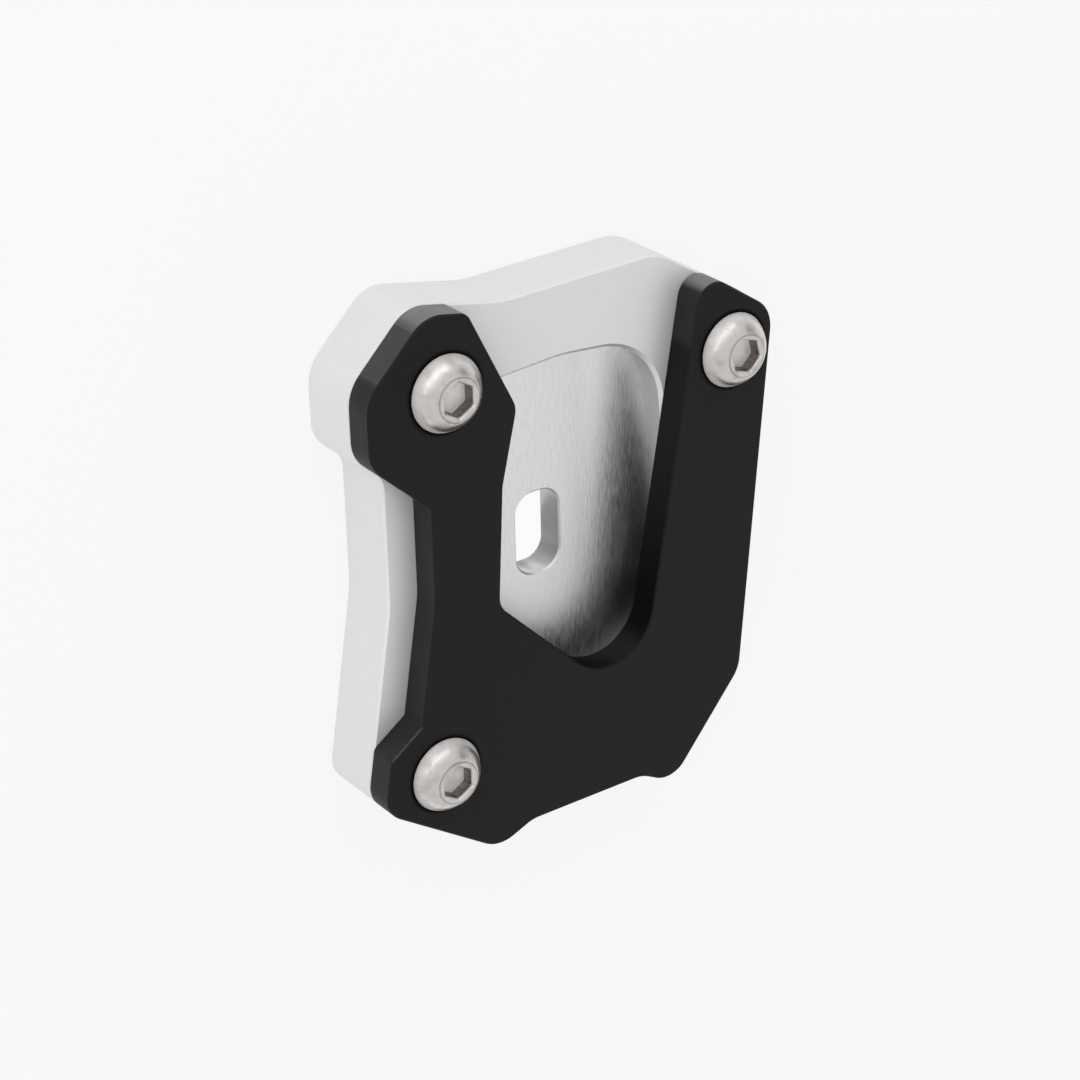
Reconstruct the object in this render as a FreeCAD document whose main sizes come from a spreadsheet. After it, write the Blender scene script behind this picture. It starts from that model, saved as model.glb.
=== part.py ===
import FreeCAD, Part
import Sketcher
import math
import os

# Side-stand foot enlarger: a thick base plate with a shallow pocket for the stand's own foot,
# a flat clamp plate that reaches over the pocket's rim, and three button-head screws.
# Frame: origin on the ground under the middle of the plates, X across towards the clamp plate's
# arm, Y towards the open end of its fork, Z up. Units are millimetres and degrees.

Vec = FreeCAD.Vector

# Plates
PLATE_WIDTH = 65.0
PLATE_LENGTH = 80.0
BASE_THICK = 9.6
CLAMP_THICK = 4.4
POCKET_FLOOR = 5.8
POCKET_BREAK = 0.5
LIP_COVER = 2.0
LIP_DROP = 0.86
LEG_LEDGE = 4.47
HEEL_STEP = 2.15
BASE_TOP_BREAK = 0.3
BASE_UNDER_BREAK = 0.2
CLAMP_TOP_BREAK = 0.2
CLAMP_UNDER_BREAK = 0.1

# Slot through the pocket floor
SLOT_ACROSS = 7.1
SLOT_ALONG = 12.0
SLOT_FLAT = 0.6
SLOT_SHIFT = 1.5
SLOT_RISE = 0.7
SLOT_BREAK = 0.25
SLOT_UNDER_BREAK = 1.5

# Screw axes, from the sides, the open end and the heel line
LEG_SCREW_IN = 11.72
LEG_SCREW_DOWN = 11.05
ARM_SCREW_IN = 6.97
ARM_SCREW_DOWN = 17.16
HEEL_SCREW_IN = 9.31
HEEL_SCREW_UP = 12.4

# Button-head screws
SHANK_D = 6.0
SCREW_RECESS = 2.0
SHANK_BREAK = 0.8
HEAD_D = 10.5
HEAD_HIGH = 3.05
HEAD_LIP = 0.15
HEAD_FLAT_D = 6.3
SOCKET_FLATS = 4.2
SOCKET_DEEP = 2.0
LEG_SCREW_TURN = 30
ARM_SCREW_TURN = 44
HEEL_SCREW_TURN = 30
THREAD_GAP = 0.05
PASS_GAP = 0.3
HOLE_BREAK = 0.5

# Corner radii
NICK_R = 0.6
STEP_R = 1.0
TIP_R = 2.0
BEND_R = 3.0
PAD_R = 4.0
LOBE_R = 5.0
SIDE_R = 6.0
THROAT_R = 7.5
BROW_R = 8.0
WAVE_R = 15.0
SWEEP_R = 20.0
FOOT_R = 10.6
FOOT_NEAR_R = 3.5

# Clamp plate corners: in from the left or right side, down from the open end, up from the heel line
LEG_TIP_IN = 15.39
LEG_TIP_DOWN = 1.28
LEG_CHEEK_IN = 22.53
LEG_CHEEK_DOWN = 15.98
LEG_WAIST_IN = 19.97
LEG_WAIST_DOWN = 26.49
LEG_FOOT_IN = 18.92
LEG_FOOT_DROP = 3.62
THROAT_IN = 23.37
THROAT_UP = 11.51
ARM_TIP_IN = 12.17
ARM_TIP_DOWN = 4.71
ARM_SIDE_DOWN = 13.01
HEEL_SIDE_IN = 5.33
HEEL_SIDE_UP = 11.38
HEEL_BUMP_IN = 17.32
HEEL_BUMP_DROP = 2.86
BUMP_END_IN = 22.79
DIP_END_IN = 23.32
HEEL_KNOB_IN = 17.55
HEEL_KNOB_DROP = 2.36
HEEL_CORNER_OUT = 0.35
HEEL_CORNER_UP = 9.55
SHOULDER_IN = 0.99
SHOULDER_UP = 17.24
NOTCH_IN = 5.94
NOTCH_UP = 20.69
LEG_BACK_IN = 8.84
LEG_BACK_DROP = 0.16
LEG_NECK_DOWN = 26.37
LOBE_LOW_DOWN = 18.27
LOBE_SIDE_DOWN = 9.13
LOBE_TOP_IN = 9.13

# Base plate corners that the clamp plate doesn't share
BROW_IN = 23.67
BROW_DOWN = 2.96
BROW_END_IN = 16.33
BROW_END_DOWN = 2.35
SHOULDER_RISE = 0.58
LEDGE_LOW_DROP = 1.04
LEDGE_HIGH_DOWN = 22.64
LEDGE_LOBE_STEP = 0.36

# Pocket corners
FOOT_NEAR_DOWN = 14.04
FOOT_BROW_IN = 32.24
FOOT_BROW_DOWN = 13.01
FOOT_FAR_IN = 16.56
FOOT_FAR_DOWN = 14.35
FOOT_LOW_IN = 12.91
FOOT_LOW_UP = 15.55
FOOT_LOW_CLEAR = 5.35

doc = FreeCAD.newDocument("FootEnlarger")
sheet = doc.addObject("Spreadsheet::Sheet", "Sizes")
sheet_rows = []


def put(alias, value):
    """Write one named cell: a plain number, or a formula that starts with an equals sign."""
    row = len(sheet_rows) + 1
    sheet_rows.append(alias)
    sheet.set("A%d" % row, alias)
    sheet.set("B%d" % row, str(value))
    sheet.setAlias("B%d" % row, alias)


def size(alias):
    return float(sheet.get(alias))


def place(name, across, along, radius):
    """Put an outline corner's place in the sheet and return its name with its radius."""
    put("at_%s_x" % name, "=" + across)
    put("at_%s_y" % name, "=" + along)
    return name, radius


put("plate_width", PLATE_WIDTH)
put("plate_length", PLATE_LENGTH)
put("base_thick", BASE_THICK)
put("clamp_thick", CLAMP_THICK)
put("pocket_floor", POCKET_FLOOR)
put("pocket_break", POCKET_BREAK)
put("lip_cover", LIP_COVER)
put("lip_drop", LIP_DROP)
put("leg_ledge", LEG_LEDGE)
put("heel_step", HEEL_STEP)
put("base_top_break", BASE_TOP_BREAK)
put("base_under_break", BASE_UNDER_BREAK)
put("clamp_top_break", CLAMP_TOP_BREAK)
put("clamp_under_break", CLAMP_UNDER_BREAK)
put("slot_across", SLOT_ACROSS)
put("slot_along", SLOT_ALONG)
put("slot_flat", SLOT_FLAT)
put("slot_shift", SLOT_SHIFT)
put("slot_rise", SLOT_RISE)
put("slot_break", SLOT_BREAK)
put("slot_under_break", SLOT_UNDER_BREAK)
put("leg_screw_in", LEG_SCREW_IN)
put("leg_screw_down", LEG_SCREW_DOWN)
put("arm_screw_in", ARM_SCREW_IN)
put("arm_screw_down", ARM_SCREW_DOWN)
put("heel_screw_in", HEEL_SCREW_IN)
put("heel_screw_up", HEEL_SCREW_UP)
put("shank_d", SHANK_D)
put("screw_recess", SCREW_RECESS)
put("shank_break", SHANK_BREAK)
put("head_d", HEAD_D)
put("head_high", HEAD_HIGH)
put("head_lip", HEAD_LIP)
put("head_flat_d", HEAD_FLAT_D)
put("socket_flats", SOCKET_FLATS)
put("socket_deep", SOCKET_DEEP)
put("leg_screw_turn", LEG_SCREW_TURN)
put("arm_screw_turn", ARM_SCREW_TURN)
put("heel_screw_turn", HEEL_SCREW_TURN)
put("thread_gap", THREAD_GAP)
put("pass_gap", PASS_GAP)
put("hole_break", HOLE_BREAK)
put("nick_r", NICK_R)
put("step_r", STEP_R)
put("tip_r", TIP_R)
put("bend_r", BEND_R)
put("pad_r", PAD_R)
put("lobe_r", LOBE_R)
put("side_r", SIDE_R)
put("throat_r", THROAT_R)
put("brow_r", BROW_R)
put("wave_r", WAVE_R)
put("sweep_r", SWEEP_R)
put("foot_r", FOOT_R)
put("foot_low_clear", FOOT_LOW_CLEAR)
put("foot_near_r", FOOT_NEAR_R)
put("leg_tip_in", LEG_TIP_IN)
put("leg_tip_down", LEG_TIP_DOWN)
put("leg_cheek_in", LEG_CHEEK_IN)
put("leg_cheek_down", LEG_CHEEK_DOWN)
put("leg_waist_in", LEG_WAIST_IN)
put("leg_waist_down", LEG_WAIST_DOWN)
put("leg_foot_in", LEG_FOOT_IN)
put("leg_foot_drop", LEG_FOOT_DROP)
put("throat_in", THROAT_IN)
put("throat_up", THROAT_UP)
put("arm_tip_in", ARM_TIP_IN)
put("arm_tip_down", ARM_TIP_DOWN)
put("arm_side_down", ARM_SIDE_DOWN)
put("heel_side_in", HEEL_SIDE_IN)
put("heel_side_up", HEEL_SIDE_UP)
put("heel_bump_in", HEEL_BUMP_IN)
put("heel_bump_drop", HEEL_BUMP_DROP)
put("bump_end_in", BUMP_END_IN)
put("dip_end_in", DIP_END_IN)
put("heel_knob_in", HEEL_KNOB_IN)
put("heel_knob_drop", HEEL_KNOB_DROP)
put("heel_corner_out", HEEL_CORNER_OUT)
put("heel_corner_up", HEEL_CORNER_UP)
put("shoulder_in", SHOULDER_IN)
put("shoulder_up", SHOULDER_UP)
put("notch_in", NOTCH_IN)
put("notch_up", NOTCH_UP)
put("leg_back_in", LEG_BACK_IN)
put("leg_back_drop", LEG_BACK_DROP)
put("leg_neck_down", LEG_NECK_DOWN)
put("lobe_low_down", LOBE_LOW_DOWN)
put("lobe_side_down", LOBE_SIDE_DOWN)
put("lobe_top_in", LOBE_TOP_IN)
put("brow_in", BROW_IN)
put("brow_down", BROW_DOWN)
put("brow_end_in", BROW_END_IN)
put("brow_end_down", BROW_END_DOWN)
put("shoulder_rise", SHOULDER_RISE)
put("ledge_low_drop", LEDGE_LOW_DROP)
put("ledge_high_down", LEDGE_HIGH_DOWN)
put("ledge_lobe_step", LEDGE_LOBE_STEP)
put("foot_near_down", FOOT_NEAR_DOWN)
put("foot_brow_in", FOOT_BROW_IN)
put("foot_brow_down", FOOT_BROW_DOWN)
put("foot_far_in", FOOT_FAR_IN)
put("foot_far_down", FOOT_FAR_DOWN)
put("foot_low_in", FOOT_LOW_IN)
put("foot_low_up", FOOT_LOW_UP)
put("tapped_d", "=shank_d + 2 * thread_gap")
put("pass_d", "=shank_d + 2 * pass_gap")
put("shank_length", "=clamp_thick + base_thick - screw_recess")
put("slot_corner", "=slot_across / 2 - slot_flat")
put("left_side", "=-plate_width / 2")
put("right_side", "=plate_width / 2")
put("fork_end", "=plate_length / 2")
put("heel_line", "=heel_step - plate_length / 2")
put("leg_screw_x", "=left_side + leg_screw_in")
put("leg_screw_y", "=fork_end - leg_screw_down")
put("arm_screw_x", "=right_side - arm_screw_in")
put("arm_screw_y", "=fork_end - arm_screw_down")
put("heel_screw_x", "=left_side + heel_screw_in")
put("heel_screw_y", "=heel_line + heel_screw_up")

CLAMP_CORNERS = [
    place("leg_tip", "left_side + leg_tip_in", "fork_end - leg_tip_down", "tip_r"),
    place("leg_cheek", "left_side + leg_cheek_in", "fork_end - leg_cheek_down", "bend_r"),
    place("leg_waist", "left_side + leg_waist_in", "fork_end - leg_waist_down", "lobe_r"),
    place("leg_foot", "left_side + leg_foot_in", "-leg_foot_drop", "bend_r"),
    place("throat", "right_side - throat_in", "heel_line + throat_up", "throat_r"),
    place("arm_tip", "right_side - arm_tip_in", "fork_end - arm_tip_down", "bend_r"),
    place("arm_side", "right_side", "fork_end - arm_side_down", "lobe_r"),
    place("heel_side", "right_side - heel_side_in", "heel_line + heel_side_up", "lobe_r"),
    place("heel_bump", "right_side - heel_bump_in", "heel_line - heel_bump_drop", "pad_r"),
    place("bump_end", "right_side - bump_end_in", "heel_line", "lobe_r"),
    place("dip_end", "left_side + dip_end_in", "heel_line", "lobe_r"),
    place("heel_knob", "left_side + heel_knob_in", "heel_line - heel_knob_drop", "lobe_r"),
    place("heel_corner", "left_side - heel_corner_out", "heel_line + heel_corner_up", "pad_r"),
    place("shoulder", "left_side + shoulder_in", "heel_line + shoulder_up", "step_r"),
    place("notch", "left_side + notch_in", "heel_line + notch_up", "nick_r"),
    place("leg_back", "left_side + leg_back_in", "-leg_back_drop", "wave_r"),
    place("leg_neck", "left_side + leg_back_in", "fork_end - leg_neck_down", "step_r"),
    place("lobe_low", "left_side", "fork_end - lobe_low_down", "lobe_r"),
    place("lobe_side", "left_side", "fork_end - lobe_side_down", "side_r"),
    place("lobe_top", "left_side + lobe_top_in", "fork_end", "lobe_r"),
]

# The base plate's heel corners lie where the heel line meets the clamp plate's two heel edges.
HEEL_EDGE = "at_%s_x + (at_%s_x - at_%s_x) * (heel_line - at_%s_y) / (at_%s_y - at_%s_y)"
right_meets = HEEL_EDGE % ("heel_side", "heel_bump", "heel_side", "heel_side", "heel_bump", "heel_side")
left_meets = HEEL_EDGE % ("heel_corner", "heel_knob", "heel_corner", "heel_corner", "heel_knob", "heel_corner")
ledge = "left_side + leg_back_in - leg_ledge"
BASE_CORNERS = [
    place("brow", "left_side + brow_in", "fork_end - brow_down", "wave_r"),
    place("brow_end", "right_side - brow_end_in", "fork_end - brow_end_down", "brow_r"),
    place("arm_shoulder", "right_side", "at_arm_side_y + shoulder_rise", "lobe_r"),
    ("heel_side", "lobe_r"),
    place("heel_right", right_meets, "heel_line", "lobe_r"),
    place("heel_left", left_meets, "heel_line", "side_r"),
    ("heel_corner", "pad_r"),
    place("ledge_low", ledge, "-ledge_low_drop", "sweep_r"),
    place("ledge_high", ledge, "fork_end - ledge_high_down", "bend_r"),
    place("ledge_lobe", "left_side", "at_lobe_low_y - ledge_lobe_step", "lobe_r"),
    ("lobe_side", "side_r"),
    ("lobe_top", "lobe_r"),
]

# The pocket's rim lies under the clamp plate by the lip along the leg. Its other side runs nearly
# straight along the plate, so it shows beside the arm's tip and goes deeper under the arm below.
# Its low side, under the heel, meets the side along the leg's foot, which runs at 45 degrees.
low_meets = "at_leg_foot_x - lip_cover + at_leg_foot_y - lip_drop - at_foot_low_y"
FOOT_CORNERS = [
    place("foot_far", "right_side - foot_far_in", "fork_end - foot_far_down", "foot_r"),
    place("foot_low", "right_side - foot_low_in", "heel_line + foot_low_up", "foot_low_r"),
    place("foot_heel", low_meets, "at_foot_low_y", "side_r"),
    place("foot_left", "at_leg_foot_x - lip_cover", "at_leg_foot_y - lip_drop", "lobe_r"),
    place("foot_near", "at_leg_waist_x - lip_cover", "fork_end - foot_near_down", "foot_near_r"),
    place("foot_brow", "right_side - foot_brow_in", "fork_end - foot_brow_down", "sweep_r"),
]
# The round corner at the low side takes up that side but for a clear length.
put("foot_low_r", "=at_foot_low_x - at_foot_heel_x - foot_low_clear")

# The slot's middle
put("slot_x", "=-slot_shift")
put("slot_y", "=slot_rise")
SLOT_CORNERS = [
    place("slot_low_left", "slot_x - slot_across / 2", "slot_y - slot_along / 2", "slot_corner"),
    place("slot_low_right", "slot_x + slot_across / 2", "slot_y - slot_along / 2", "slot_corner"),
    place("slot_high_right", "slot_x + slot_across / 2", "slot_y + slot_along / 2", "slot_corner"),
    place("slot_high_left", "slot_x - slot_across / 2", "slot_y + slot_along / 2", "slot_corner"),
]
doc.recompute()


def new_body(name):
    body = doc.addObject("PartDesign::Body", name)
    body.Label = name
    return body


def new_sketch(body, name, plane="XY_Plane", height=None):
    """A sketch on one of the body's own planes, lifted by a sheet expression if one is given."""
    sketch = body.newObject("Sketcher::SketchObject", name)
    for feature in body.Origin.OriginFeatures:
        if feature.Role == plane:
            sketch.AttachmentSupport = [(feature, "")]
    sketch.MapMode = "FlatFace"
    if height:
        sketch.setExpression("AttachmentOffset.Base.z", height)
    return sketch


def bind(sketch, constraint, expression):
    """Add a dimension and drive it from the sheet."""
    index = sketch.addConstraint(constraint)
    sketch.setExpression("Constraints[%d]" % index, expression)
    return index


def draw_outline(sketch, corners):
    """A closed run of lines, each corner held at its place in the sheet."""
    points = [Vec(size("at_%s_x" % c[0]), size("at_%s_y" % c[0]), 0) for c in corners]
    count = len(points)
    for i in range(count):
        sketch.addGeometry(Part.LineSegment(points[i], points[(i + 1) % count]), False)
    for i in range(count):
        sketch.addConstraint(Sketcher.Constraint("Coincident", i, 2, (i + 1) % count, 1))
    for i in range(count):
        name = corners[i][0]
        across = Sketcher.Constraint("DistanceX", -1, 1, i, 1, points[i].x)
        bind(sketch, across, "Sizes.at_%s_x" % name)
        along = Sketcher.Constraint("DistanceY", -1, 1, i, 1, points[i].y)
        bind(sketch, along, "Sizes.at_%s_y" % name)


def draw_screw_circles(sketch, diameter):
    """One circle on each screw axis."""
    for i, screw in enumerate(("leg_screw", "arm_screw", "heel_screw")):
        centre = Vec(size(screw + "_x"), size(screw + "_y"), 0)
        sketch.addGeometry(Part.Circle(centre, Vec(0, 0, 1), size(diameter) / 2), False)
        bind(sketch, Sketcher.Constraint("Diameter", i, size(diameter)), "Sizes." + diameter)
        across = Sketcher.Constraint("DistanceX", -1, 1, i, 3, centre.x)
        bind(sketch, across, "Sizes.%s_x" % screw)
        along = Sketcher.Constraint("DistanceY", -1, 1, i, 3, centre.y)
        bind(sketch, along, "Sizes.%s_y" % screw)


def pad(body, name, sketch, length):
    feature = body.newObject("PartDesign::Pad", name)
    feature.Profile = sketch
    feature.setExpression("Length", length)
    doc.recompute()
    return feature


def cut(body, name, sketch, length):
    """A pocket downwards from its sketch; a length of None goes through everything."""
    before = body.Shape.Volume
    feature = body.newObject("PartDesign::Pocket", name)
    feature.Profile = sketch
    if length is None:
        feature.Type = "ThroughAll"
    else:
        feature.setExpression("Length", length)
    doc.recompute()
    if body.Shape.Volume > before - 1:
        raise RuntimeError(name + " removed nothing")
    return feature


def edges_where(shape, wanted):
    return ["Edge%d" % (i + 1) for i, edge in enumerate(shape.Edges) if wanted(edge)]


def dress(body, kind, name, edges, measure, alias):
    """A fillet or a chamfer on top of the body's last feature."""
    last = body.Tip
    feature = body.newObject(kind, name)
    feature.Base = (last, edges)
    feature.setExpression(measure, "Sizes." + alias)
    doc.recompute()
    if not feature.Shape.isValid():
        raise RuntimeError(name + " failed")


def round_corners(body, prefix, corners):
    """Round the upright edges of an outline, one feature for each named radius."""
    for radius in sorted({r for _name, r in corners}):
        spots = [(size("at_%s_x" % name), size("at_%s_y" % name)) for name, r in corners if r == radius]

        def upright(edge):
            box = edge.BoundBox
            if box.ZLength < 1 or box.XLength > 0.001 or box.YLength > 0.001:
                return False
            return any(math.hypot(box.XMin - x, box.YMin - y) < 0.01 for x, y in spots)

        names = edges_where(body.Shape, upright)
        if len(names) != len(spots):
            raise RuntimeError("%s: %d edges for %s" % (prefix, len(names), radius))
        dress(body, "PartDesign::Fillet", prefix + "_" + radius, names, "Radius", radius)


def break_edges(body, name, wanted, width):
    """A small chamfer on the edges that the test picks."""
    names = edges_where(body.Shape, wanted)
    if not names:
        raise RuntimeError(name + " found no edge")
    dress(body, "PartDesign::Chamfer", name, names, "Size", width)


def flat_at(height):
    """A test for edges that lie flat at one height."""
    def test(edge):
        return abs(edge.BoundBox.ZMin - height) < 0.001 and edge.BoundBox.ZLength < 0.001
    return test


def build_base_plate():
    body = new_body("base_plate")
    outline = new_sketch(body, "base_outline")
    draw_outline(outline, BASE_CORNERS)
    pad(body, "base_slab", outline, "Sizes.base_thick")
    round_corners(body, "base", BASE_CORNERS)
    break_edges(body, "base_top_edge", flat_at(size("base_thick")), "base_top_break")
    break_edges(body, "base_under_edge", flat_at(0), "base_under_break")

    foot = new_sketch(body, "foot_outline", height="Sizes.base_thick")
    draw_outline(foot, FOOT_CORNERS)
    cut(body, "foot_pocket", foot, "Sizes.base_thick - Sizes.pocket_floor")
    round_corners(body, "foot", FOOT_CORNERS)

    def pocket_rim(edge):
        spot = edge.BoundBox.Center
        across = abs(spot.x) < size("at_foot_low_x")
        along = size("at_foot_low_y") - 0.01 < spot.y < size("at_foot_brow_y") + 0.01
        return flat_at(size("base_thick"))(edge) and across and along
    break_edges(body, "foot_top_edge", pocket_rim, "pocket_break")

    slot = new_sketch(body, "slot_outline", height="Sizes.pocket_floor")
    draw_outline(slot, SLOT_CORNERS)
    cut(body, "slot", slot, None)
    round_corners(body, "slot", SLOT_CORNERS)
    reach_x = size("slot_across") / 2 + 0.01
    reach_y = size("slot_along") / 2 + 0.01

    def slot_rim(height):
        def test(edge):
            box = edge.BoundBox
            across = max(abs(box.XMin - size("slot_x")), abs(box.XMax - size("slot_x"))) < reach_x
            along = max(abs(box.YMin - size("slot_y")), abs(box.YMax - size("slot_y"))) < reach_y
            return flat_at(height)(edge) and across and along
        return test
    break_edges(body, "slot_top_edge", slot_rim(size("pocket_floor")), "slot_break")
    break_edges(body, "slot_under_edge", slot_rim(0), "slot_under_break")

    holes = new_sketch(body, "tapped_centres", height="Sizes.base_thick")
    draw_screw_circles(holes, "tapped_d")
    cut(body, "tapped_holes", holes, None)
    radius = size("tapped_d") / 2

    def hole_rim(edge):
        box = edge.BoundBox
        round_one = abs(box.XLength - 2 * radius) < 0.01 and abs(box.YLength - 2 * radius) < 0.01
        return flat_at(0)(edge) and round_one
    break_edges(body, "hole_under_break", hole_rim, "hole_break")
    return body


def build_clamp_plate():
    body = new_body("clamp_plate")
    outline = new_sketch(body, "clamp_outline", height="Sizes.base_thick")
    draw_outline(outline, CLAMP_CORNERS)
    pad(body, "clamp_slab", outline, "Sizes.clamp_thick")
    round_corners(body, "clamp", CLAMP_CORNERS)
    top = size("base_thick") + size("clamp_thick")
    break_edges(body, "clamp_top_edge", flat_at(top), "clamp_top_break")
    break_edges(body, "clamp_under_edge", flat_at(size("base_thick")), "clamp_under_break")

    centres = new_sketch(body, "pass_centres", height="Sizes.base_thick + Sizes.clamp_thick")
    draw_screw_circles(centres, "pass_d")
    doc.recompute()
    before = body.Shape.Volume
    hole = body.newObject("PartDesign::Hole", "pass_holes")
    hole.Profile = centres
    hole.ThreadType = "None"
    hole.DepthType = "ThroughAll"
    hole.setExpression("Diameter", "Sizes.pass_d")
    doc.recompute()
    if body.Shape.Volume > before - 1:
        raise RuntimeError("pass_holes removed nothing")
    return body


def build_screw(name, axis):
    """One button-head screw, its bearing face on the clamp plate's top face."""
    body = new_body(name)
    shank = size("shank_d") / 2
    head = size("head_d") / 2
    flat = size("head_flat_d") / 2
    end = -size("shank_length")
    taper = size("shank_break")
    lip = size("head_lip")
    high = size("head_high")
    dome_z = (head ** 2 + lip ** 2 - flat ** 2 - high ** 2) / (2 * (lip - high))
    dome_r = math.hypot(head, lip - dome_z)
    low_angle = math.atan2(lip - dome_z, head)
    high_angle = math.atan2(high - dome_z, flat)

    profile = new_sketch(body, name + "_profile", plane="XZ_Plane")
    run = [(0, high), (0, end), (shank - taper, end), (shank, end + taper), (shank, 0), (head, 0), (head, lip)]
    for (x1, y1), (x2, y2) in zip(run, run[1:]):
        profile.addGeometry(Part.LineSegment(Vec(x1, y1, 0), Vec(x2, y2, 0)), False)
    dome = Part.Circle(Vec(0, dome_z, 0), Vec(0, 0, 1), dome_r)
    profile.addGeometry(Part.ArcOfCircle(dome, low_angle, high_angle), False)
    profile.addGeometry(Part.LineSegment(Vec(flat, high, 0), Vec(0, high, 0)), False)
    for i in range(5):
        profile.addConstraint(Sketcher.Constraint("Coincident", i, 2, i + 1, 1))
    profile.addConstraint(Sketcher.Constraint("Coincident", 5, 2, 6, 1))
    profile.addConstraint(Sketcher.Constraint("Coincident", 6, 2, 7, 1))
    profile.addConstraint(Sketcher.Constraint("Coincident", 7, 2, 0, 1))
    profile.addConstraint(Sketcher.Constraint("PointOnObject", 6, 3, -2))
    profile.addConstraint(Sketcher.Constraint("PointOnObject", 0, 1, -2))
    profile.addConstraint(Sketcher.Constraint("Vertical", 0))
    profile.addConstraint(Sketcher.Constraint("Horizontal", 1))
    profile.addConstraint(Sketcher.Constraint("Vertical", 3))
    profile.addConstraint(Sketcher.Constraint("Horizontal", 4))
    profile.addConstraint(Sketcher.Constraint("Vertical", 5))
    profile.addConstraint(Sketcher.Constraint("Horizontal", 7))
    profile.addConstraint(Sketcher.Constraint("PointOnObject", 4, 1, -1))
    bind(profile, Sketcher.Constraint("DistanceX", -1, 1, 3, 1, shank), "Sizes.shank_d / 2")
    bind(profile, Sketcher.Constraint("DistanceY", -1, 1, 1, 1, end), "-Sizes.shank_length")
    bind(profile, Sketcher.Constraint("DistanceX", 2, 1, 2, 2, taper), "Sizes.shank_break")
    bind(profile, Sketcher.Constraint("DistanceY", 2, 1, 2, 2, taper), "Sizes.shank_break")
    bind(profile, Sketcher.Constraint("DistanceX", -1, 1, 5, 1, head), "Sizes.head_d / 2")
    bind(profile, Sketcher.Constraint("DistanceY", 5, 1, 5, 2, lip), "Sizes.head_lip")
    bind(profile, Sketcher.Constraint("DistanceY", -1, 1, 7, 1, high), "Sizes.head_high")
    bind(profile, Sketcher.Constraint("DistanceX", -1, 1, 7, 1, flat), "Sizes.head_flat_d / 2")
    turned = body.newObject("PartDesign::Revolution", name + "_blank")
    turned.Profile = profile
    turned.ReferenceAxis = (profile, ["V_Axis"])
    turned.Angle = 360
    doc.recompute()

    reach = size("socket_flats") / 2 / math.cos(math.pi / 6)
    socket = new_sketch(body, name + "_socket", height="Sizes.head_high")
    ring = [Vec(reach * math.cos(k * math.pi / 3), reach * math.sin(k * math.pi / 3), 0) for k in range(6)]
    for k in range(6):
        socket.addGeometry(Part.LineSegment(ring[k], ring[(k + 1) % 6]), False)
    socket.addGeometry(Part.Circle(Vec(0, 0, 0), Vec(0, 0, 1), reach), True)
    for k in range(6):
        socket.addConstraint(Sketcher.Constraint("Coincident", k, 2, (k + 1) % 6, 1))
        socket.addConstraint(Sketcher.Constraint("PointOnObject", k, 1, 6))
    for k in range(1, 6):
        socket.addConstraint(Sketcher.Constraint("Equal", 0, k))
    socket.addConstraint(Sketcher.Constraint("Coincident", 6, 3, -1, 1))
    socket.addConstraint(Sketcher.Constraint("Horizontal", 1))
    bind(socket, Sketcher.Constraint("Radius", 6, reach), "Sizes.socket_flats / 2 / cos(30)")
    cut(body, name + "_hex", socket, "Sizes.socket_deep")

    body.setExpression("Placement.Base.x", "Sizes.%s_x" % axis)
    body.setExpression("Placement.Base.y", "Sizes.%s_y" % axis)
    body.setExpression("Placement.Base.z", "Sizes.base_thick + Sizes.clamp_thick")
    body.setExpression("Placement.Rotation.Angle", "Sizes.%s_turn" % axis)
    body.Placement.Rotation = FreeCAD.Rotation(Vec(0, 0, 1), size(axis + "_turn"))
    doc.recompute()
    return body


base_plate = build_base_plate()
clamp_plate = build_clamp_plate()
screws = [build_screw("screw_at_leg", "leg_screw"),
          build_screw("screw_at_arm", "arm_screw"),
          build_screw("screw_at_heel", "heel_screw")]
clamp_screws = doc.addObject("Part::Compound", "clamp_screws")
clamp_screws.Label = "clamp_screws"
clamp_screws.Links = screws
doc.recompute()

for item in doc.Objects:
    if "Invalid" in item.State or "Error" in item.State:
        raise RuntimeError("bad state: %s %s" % (item.Name, item.State))
os.makedirs("parts", exist_ok=True)
for part, solids in ((base_plate, 1), (clamp_plate, 1), (clamp_screws, 3)):
    shape = part.Shape
    if shape.isNull() or not shape.isValid() or len(shape.Solids) != solids:
        raise RuntimeError("bad shape: " + part.Label)
    shape.exportStep("parts/%s.step" % part.Label)
    box = shape.BoundBox
    print(part.Label, "volume %.0f" % shape.Volume,
          "x %.2f %.2f" % (box.XMin, box.XMax),
          "y %.2f %.2f" % (box.YMin, box.YMax),
          "z %.2f %.2f" % (box.ZMin, box.ZMax))
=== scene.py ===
"""Looks of the side-stand foot enlarger: its finishes, its screws and the studio it is seen in.

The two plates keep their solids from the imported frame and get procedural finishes. One button-head
screw is modelled again, with the rolled edges and the thread that are too fine for the solids, and
copied into the three holes. Sizes in the classes are in millimetres and degrees, but for the floor's
and the lamps', which are in metres. Meshes are made in metres.
"""

import logging
import math
from dataclasses import dataclass
from enum import Enum
from typing import Callable, Dict, List, Optional, Sequence, Tuple, Union

import bmesh
import bpy
from mathutils import Matrix, Vector


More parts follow.
